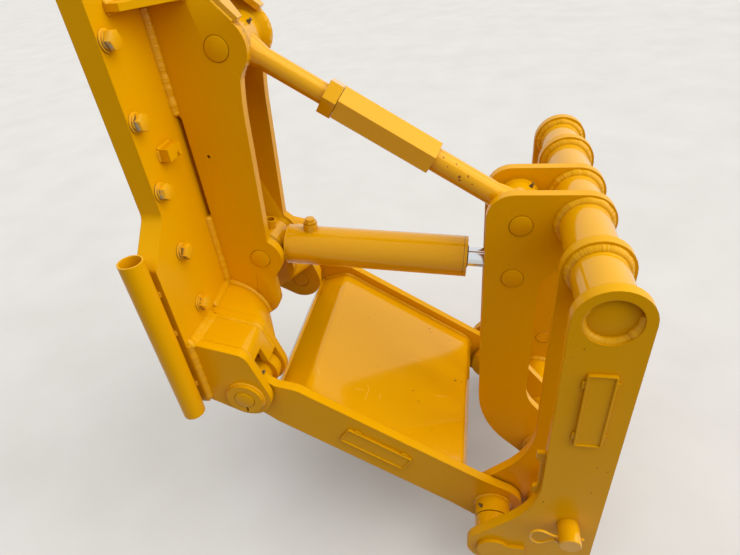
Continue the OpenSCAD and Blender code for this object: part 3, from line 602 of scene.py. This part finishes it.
def blank_plate(name, body, centre, length, height, tilt, y):
    bm = bmesh.new()
    verts = bmesh.ops.create_grid(bm, x_segments=1, y_segments=1, size=0.5)["verts"]
    bmesh.ops.scale(bm, vec=(length, height, 1), verts=verts)
    bmesh.ops.bevel(bm, geom=bm.verts[:], offset=plate_corner, segments=4, profile=0.5, affect="VERTICES",
                    material=-1)
    made = bmesh.ops.extrude_face_region(bm, geom=bm.faces[:])["geom"]
    top = [v for v in made if isinstance(v, bmesh.types.BMVert)]
    face = [f for f in made if isinstance(f, bmesh.types.BMFace)]
    bmesh.ops.translate(bm, vec=(0, 0, plate_thick), verts=top)
    bmesh.ops.inset_region(bm, faces=face, thickness=plate_chamfer[0], depth=plate_chamfer[1])
    bmesh.ops.inset_region(bm, faces=face, thickness=plate_border)
    bmesh.ops.inset_region(bm, faces=face, thickness=plate_field[0], depth=plate_field[1])
    for along_x, along_y in ((-0.36, -0.5), (0.36, -0.5), (-0.36, 0.5), (0.36, 0.5)):
        foot = bmesh.ops.create_cube(bm, size=1)["verts"]
        bmesh.ops.scale(bm, vec=foot_size, verts=foot)
        if length > height:
            spot, turn = (along_x * length, along_y * height), Matrix.Identity(4)
        else:
            spot, turn = (along_y * length, along_x * height), Matrix.Rotation(pi / 2, 4, "Z")
        bmesh.ops.transform(bm, matrix=Matrix.Translation((*spot, foot_size[2] / 2)) @ turn, verts=foot)
        bmesh.ops.bevel(bm, geom=edges_of(foot), offset=0.0008, segments=2, profile=0.5, affect="EDGES",
                        material=-1)
    bmesh.ops.recalc_face_normals(bm, faces=bm.faces)
    place = Matrix.Translation((centre[0], y, centre[1])) @ Matrix.Rotation(pi / 2, 4, "X")
    bmesh.ops.transform(bm, matrix=place @ Matrix.Rotation(tilt, 4, "Z"), verts=bm.verts)
    return new_piece(name, bm, body, plate_enamel, crease=20)


blank_plate("arm_blank_plate", "lift_frame", (0.471, -0.740), 0.198, 0.057, -link_fall, -arm_out)


def grease_nipples(name, body, places):
    bm = bmesh.new()
    for at, out in places:
        verts = disc(bm, 0.0052, -0.001, 0.0050, 6, 0.0006)
        verts += disc(bm, 0.0030, 0.004, 0.0030, 16, 0.0005)
        verts += disc(bm, 0.0036, 0.007, 0.0034, 16, 0.0012)
        turn = Vector(out).to_track_quat("Z", "Y").to_matrix().to_4x4()
        bmesh.ops.transform(bm, matrix=Matrix.Translation(at) @ turn, verts=verts)
    return new_piece(name, bm, body, nipple_steel)


def greasy_steel():
    material, tree, place = new_material("greasy zinc plated steel")
    grime = add(tree, "ShaderNodeTexNoise", {"Vector": place, "Scale": 300.0, "Detail": 3.0})
    colour = add(tree, "ShaderNodeMix", {0: grime.outputs["Fac"], 6: linear("4A3A22"), 7: linear("9A8460")},
                 data_type="RGBA")
    shader = add(tree, "ShaderNodeBsdfPrincipled", {"Base Color": colour.outputs[2], "Metallic": 0.8,
                                                    "Roughness": 0.35})
    add(tree, "ShaderNodeOutputMaterial", {"Surface": shader.outputs[0]})
    return material


nipple_steel = greasy_steel()
frame_nipples = []
for side in (-1, 1):
    out = Vector((0.671, 0, 0.741))
    frame_nipples.append((on_frame(0, side * 0.280, 0) + 0.056 * out, out))
    frame_nipples.append((Vector((head_low[0] - 0.0312, side * 0.330, head_low[1] + 0.0358)),
                          (-0.657, 0, 0.754)))
grease_nipples("frame_nipples", "lift_frame", frame_nipples)

# Coupler head
# Two pivot plates are threaded over the cross tubes and welded all round on both faces, and so
# are the inner ears. A cap is welded in where each side plate is bored over the tube's end.
tube_up = (0.95627, -0.15805)
tube_low = (0.94627, -0.95405)
tube_r = 0.055
side_out = 0.422
side_in = 0.398
ear_in = 0.246
ear_out = 0.270
cap_out = 0.409
cap_r = 0.0506
recess_r = 0.051
tube_leg = 0.0112
caps = bmesh.new()
for side in (-1, 1):
    verts = disc(caps, cap_r, side_in, cap_out - side_in, 64, 0.0010)
    bmesh.ops.transform(caps, matrix=Matrix.Translation((tube_up[0], 0, tube_up[1]))
                        @ Matrix.Rotation(-side * pi / 2, 4, "X"), verts=verts)
new_piece("tube_end_caps", caps, "coupler_head", plate_enamel)
head_runs = []
for side in (-1, 1):
    for centre in (tube_up, tube_low):
        for y, out in ((mast_in, -side), (mast_out, side), (ear_in, -side), (ear_out, side),
                       (side_in, -side)):
            head_runs.append(ring(centre, tube_r, side * y, out, tube_leg))
    for start, end, leg in ((15, -215, 0.0100), (-26, -50, 0.0116)):
        head_runs.append(ring(tube_up, recess_r, side * cap_out, side, leg, start, end, -1))
    head_runs.append(ring(head_low, boss_r, side * side_in, -side, boss_leg))
weld_piece("head_welds", "coupler_head", head_runs)
# Chips are given by place and radius
side_enamel = enamel("gloss enamel on the chipped side plates", 0.32, 0.24, 0.0, [
    (0.8937, -0.422, -0.7151, 0.0018), (0.9915, -0.422, -0.6591, 0.0016), (0.9903, -0.422, -0.5648, 0.0014),
    (1.0136, -0.422, -0.5769, 0.0013), (0.9172, -0.422, -0.2197, 0.0013), (0.9400, 0.422, -0.6100, 0.0015),
    (0.9050, 0.422, -0.4700, 0.0014)], "5A3A12")
for hand in ("right", "left"):
    finish(cad["side_plate_" + hand], side_enamel)
blank_plate("side_blank_plate", "coupler_head", (0.958, -0.385), 0.056, 0.210, 0, -side_out)

# Spring clips of the lock pins
# Each lock pin is kept in by a clip of 7 mm spring wire: its straight leg goes through the
# pin's cross hole, and the other one hooks round the pin. They were painted in place.
lock_at = (0.95827, -0.80005)
lock_r = 0.0255
clip_y = 0.4561
clip_wire = 0.0035
clip_bends = ((0.058, 0.0), (0.030, 0.0), (0.0, 0.0), (-0.014, 0.003), (-0.030, 0.015), (-0.045, 0.021),
              (-0.061, 0.012), (-0.067, -0.012), (-0.053, -0.036), (-0.036, -0.037), (-0.020, -0.021),
              (-0.007, -0.012), (-0.003, -0.016), (0.002, -0.025), (0.013, -0.031), (0.027, -0.030),
              (0.040, -0.028))


def spring_clip(side):
    curve = bpy.data.curves.new("clip", "CURVE")
    curve.dimensions = "3D"
    curve.bevel_depth = clip_wire
    curve.bevel_resolution = 3
    curve.use_fill_caps = True
    wire = curve.splines.new("NURBS")
    wire.points.add(len(clip_bends) - 1)
    wire.use_endpoint_u = True
    wire.order_u = 4
    wire.resolution_u = 6
    for point, (x, z) in zip(wire.points, clip_bends):
        point.co = (lock_at[0] - lock_r + x, side * clip_y, lock_at[1] + z, 1)
    shape = bpy.data.objects.new("clip_line", curve)
    bpy.context.scene.collection.objects.link(shape)
    mesh = bpy.data.meshes.new_from_object(shape.evaluated_get(bpy.context.evaluated_depsgraph_get()))
    bpy.data.objects.remove(shape)
    bm = bmesh.new()
    bm.from_mesh(mesh)
    bmesh.ops.remove_doubles(bm, verts=bm.verts, dist=0.00002)
    bmesh.ops.recalc_face_normals(bm, faces=bm.faces)
    return bm


for side, hand in ((-1, "right"), (1, "left")):
    new_piece("lock_clip_" + hand, spring_clip(side), "coupler_head", sky_enamel, crease=50)

# Top link
# A turnbuckle: two forged eyes screw into a hexagonal sleeve. The front rod is chipped down to the
# red primer, and each eye has a grease nipple.
chipped_enamel = enamel("chipped enamel on the front rod", 0.15, 0.80, 0.25, [
    (0.6440, -0.0188, -0.0245, 0.0021), (0.6731, -0.0171, -0.0418, 0.0019),
    (0.6531, -0.0264, -0.0432, 0.0018), (0.6798, -0.0282, -0.0684, 0.0034),
    (0.6803, -0.0284, -0.0766, 0.0027), (0.6997, -0.0246, -0.0693, 0.0024),
    (0.7092, -0.0281, -0.0874, 0.0019), (0.6600, 0.0200, -0.0500, 0.0019),
    (0.7200, 0.0150, -0.0800, 0.0019)], primer)
finish(cad["link_front_rod"], chipped_enamel)
grease_nipples("front_eye_nipple", "top_link", [((0.8464, 0.0238, -0.1206), (0.484, 0, 0.875))])
grease_nipples("rear_eye_nipple", "top_link", [((0.2290, 0.0101, 0.2797), (0.807, 0, 0.590))])

# Lift cylinder
# The barrel is painted with the rest, and the rod is ground and hard chromed. A polyurethane wiper
# seals the rod, the gland's groove is drawn as painted shade in the wiper's black rubber, and the port has a
# hex union.
cylinder_fall = radians(3.723)
cylinder_back = Matrix.Translation((0.165, 0, -0.272)) @ Matrix.Rotation(cylinder_fall, 4, "Y")
barrel_start = 0.056
barrel_end = 0.536
barrel_r = 0.053
rod_r = 0.025
gland_at = 0.0082
gland_line = 0.0008
bead_r = 0.0024
port_at = (0.120, 0.069)        # along the barrel, out from its middle


def hard_chrome():
    material, tree, place = new_material("hard chrome")
    film = add(tree, "ShaderNodeTexNoise", {"Vector": place, "Scale": 60.0, "Detail": 3.0})
    gloss = add(tree, "ShaderNodeMapRange", {"Value": film.outputs["Fac"], "To Min": 0.05, "To Max": 0.16})
    shader = add(tree, "ShaderNodeBsdfPrincipled", {
        "Base Color": linear("DADCDD"), "Metallic": 1.0, "Roughness": gloss.outputs[0]})
    add(tree, "ShaderNodeOutputMaterial", {"Surface": shader.outputs[0]})
    return material


def wiper_rubber():
    material, tree, place = new_material("black polyurethane wiper")
    dust = add(tree, "ShaderNodeTexNoise", {"Vector": place, "Scale": 180.0, "Detail": 3.0})
    colour = add(tree, "ShaderNodeMix", {0: dust.outputs["Fac"], 6: linear("16130F"), 7: linear("3A3022")},
                 data_type="RGBA")
    shader = add(tree, "ShaderNodeBsdfPrincipled", {"Base Color": colour.outputs[2], "Roughness": 0.55})
    add(tree, "ShaderNodeOutputMaterial", {"Surface": shader.outputs[0]})
    return material


def turned_ring(bm, place, outline, segments=64):
    verts = [bm.verts.new((r, 0, s)) for s, r in outline]
    edges = [bm.edges.new((verts[i], verts[(i + 1) % len(verts)])) for i in range(len(verts))]
    bmesh.ops.spin(bm, geom=verts + edges, cent=(0, 0, 0), axis=(0, 0, 1), angle=2 * pi, steps=segments,
                   use_merge=True)
    bmesh.ops.recalc_face_normals(bm, faces=bm.faces)
    bmesh.ops.transform(bm, matrix=place @ Matrix.Rotation(pi / 2, 4, "Y"), verts=bm.verts)


finish(cad["cylinder_rod"], hard_chrome())
seal = bmesh.new()
turned_ring(seal, cylinder_back, [(barrel_end + s, rod_r + r) for s, r in (
    (-0.001, 0.0002), (0.0025, 0.0002), (0.0030, 0.0012), (0.0010, 0.0055), (-0.001, 0.0060))])
# The wiper's black rubber also serves as the painted shade of the gland's groove.
wiper = wiper_rubber()
new_piece("rod_wiper", seal, "barrel", wiper, crease=40)
# Painted shade: the gland's groove is a thin ring of black rubber, sunk a millimetre into the barrel and
# standing just proud of it.
groove = bmesh.new()
turned_ring(groove, cylinder_back, [(barrel_end - gland_at + s, barrel_r + r) for s, r in (
    (-gland_line, -0.001), (0, -0.001), (0, 0.0002), (-gland_line, 0.0002))])
new_piece("gland_groove_painted_shade", groove, "barrel", wiper, crease=40)
rear_bead = bmesh.new()
turned_ring(rear_bead, cylinder_back, arc((barrel_start + 0.0012, barrel_r - 0.0010), bead_r,
                                          range(0, 360, 30)))
new_piece("barrel_rear_bead", rear_bead, "barrel", weld_enamel, crease=60)
union = bmesh.new()
verts = disc(union, 0.0170, 0, 0.009, 6, 0.0014)
verts += disc(union, 0.0125, 0.009, 0.006, 32, 0.0008)
port = Matrix.Translation((port_at[0], 0, port_at[1]))
bmesh.ops.transform(union, matrix=cylinder_back @ port, verts=verts)
new_piece("port_union", union, "barrel", sky_enamel)

# Floor and light
# A pale concrete floor lies just under the group. A soft sky lights it from above, brighter
# overhead than at the horizon, and one wide soft sun from the front.
floor_z = -1.13
floor_size = 60.0
floor_light = "D2CFC9"
floor_dark = "C4C1BA"
floor_bounce = "6E5E46"
floor_glow = 0.14
sky_tone = "FBFCFF"
sky_horizon = 0.14
sky_overhead = 1.74
sun_energy = 2.05
sun_spread = radians(70)
sun_height = radians(30)
sun_turn = radians(-5)


def seen_directly(tree):
    ray = add(tree, "ShaderNodeLightPath", {})
    direct = add(tree, "ShaderNodeMath", {0: ray.outputs["Is Camera Ray"], 1: ray.outputs["Is Glossy Ray"]},
                 operation="MAXIMUM")
    return add(tree, "ShaderNodeMath", {0: direct.outputs[0], 1: ray.outputs["Is Transmission Ray"]},
               operation="MAXIMUM").outputs[0]


def pale_concrete():
    material, tree, place = new_material("pale sealed concrete")
    grain = add(tree, "ShaderNodeTexNoise", {"Vector": place, "Scale": 3.0, "Detail": 8.0})
    colour = add(tree, "ShaderNodeMix", {0: grain.outputs["Fac"], 6: linear(floor_light),
                                         7: linear(floor_dark)}, data_type="RGBA")
    seen = add(tree, "ShaderNodeBsdfDiffuse", {"Color": colour.outputs[2]})
    glow = add(tree, "ShaderNodeEmission", {"Color": colour.outputs[2], "Strength": floor_glow})
    pale = add(tree, "ShaderNodeAddShader", {0: seen.outputs[0], 1: glow.outputs[0]})
    plain = add(tree, "ShaderNodeBsdfDiffuse", {"Color": linear(floor_bounce)})
    both = add(tree, "ShaderNodeMixShader", {0: seen_directly(tree), 1: plain.outputs[0], 2: pale.outputs[0]})
    add(tree, "ShaderNodeOutputMaterial", {"Surface": both.outputs[0]})
    return material


bm = bmesh.new()
bmesh.ops.create_grid(bm, x_segments=1, y_segments=1, size=floor_size / 2)
bmesh.ops.translate(bm, vec=(0, 0, floor_z), verts=bm.verts)
mesh = bpy.data.meshes.new("floor")
bm.to_mesh(mesh)
bm.free()
floor = bpy.data.objects.new("floor", mesh)
mesh.materials.append(pale_concrete())
bpy.context.scene.collection.objects.link(floor)

world = bpy.data.worlds.new("studio")
world.use_nodes = True
world.node_tree.nodes.clear()
sky = world.node_tree
view = add(sky, "ShaderNodeTexCoord", {})
height = add(sky, "ShaderNodeSeparateXYZ", {"Vector": view.outputs["Generated"]})
above = add(sky, "ShaderNodeClamp", {"Value": height.outputs["Z"]})
rise = add(sky, "ShaderNodeMath", {0: above.outputs[0], 1: 2.0}, operation="POWER")
glow = add(sky, "ShaderNodeMath", {0: rise.outputs[0], 1: sky_overhead - sky_horizon, 2: sky_horizon},
           operation="MULTIPLY_ADD")
strength = add(sky, "ShaderNodeMix", {0: seen_directly(sky), 2: glow.outputs[0], 3: 1.0}, data_type="FLOAT")
add(sky, "ShaderNodeOutputWorld", {"Surface": add(sky, "ShaderNodeBackground", {
    "Color": linear(sky_tone), "Strength": strength.outputs[0]}).outputs[0]})
bpy.context.scene.world = world

lamp = bpy.data.lights.new("soft_sun", "SUN")
lamp.energy = sun_energy
lamp.angle = sun_spread
sun = bpy.data.objects.new("soft_sun", lamp)
sun_from = Vector((cos(sun_height) * cos(sun_turn), cos(sun_height) * sin(sun_turn), sin(sun_height)))
sun.rotation_euler = sun_from.to_track_quat("Z", "Y").to_euler()
bpy.context.scene.collection.objects.link(sun)
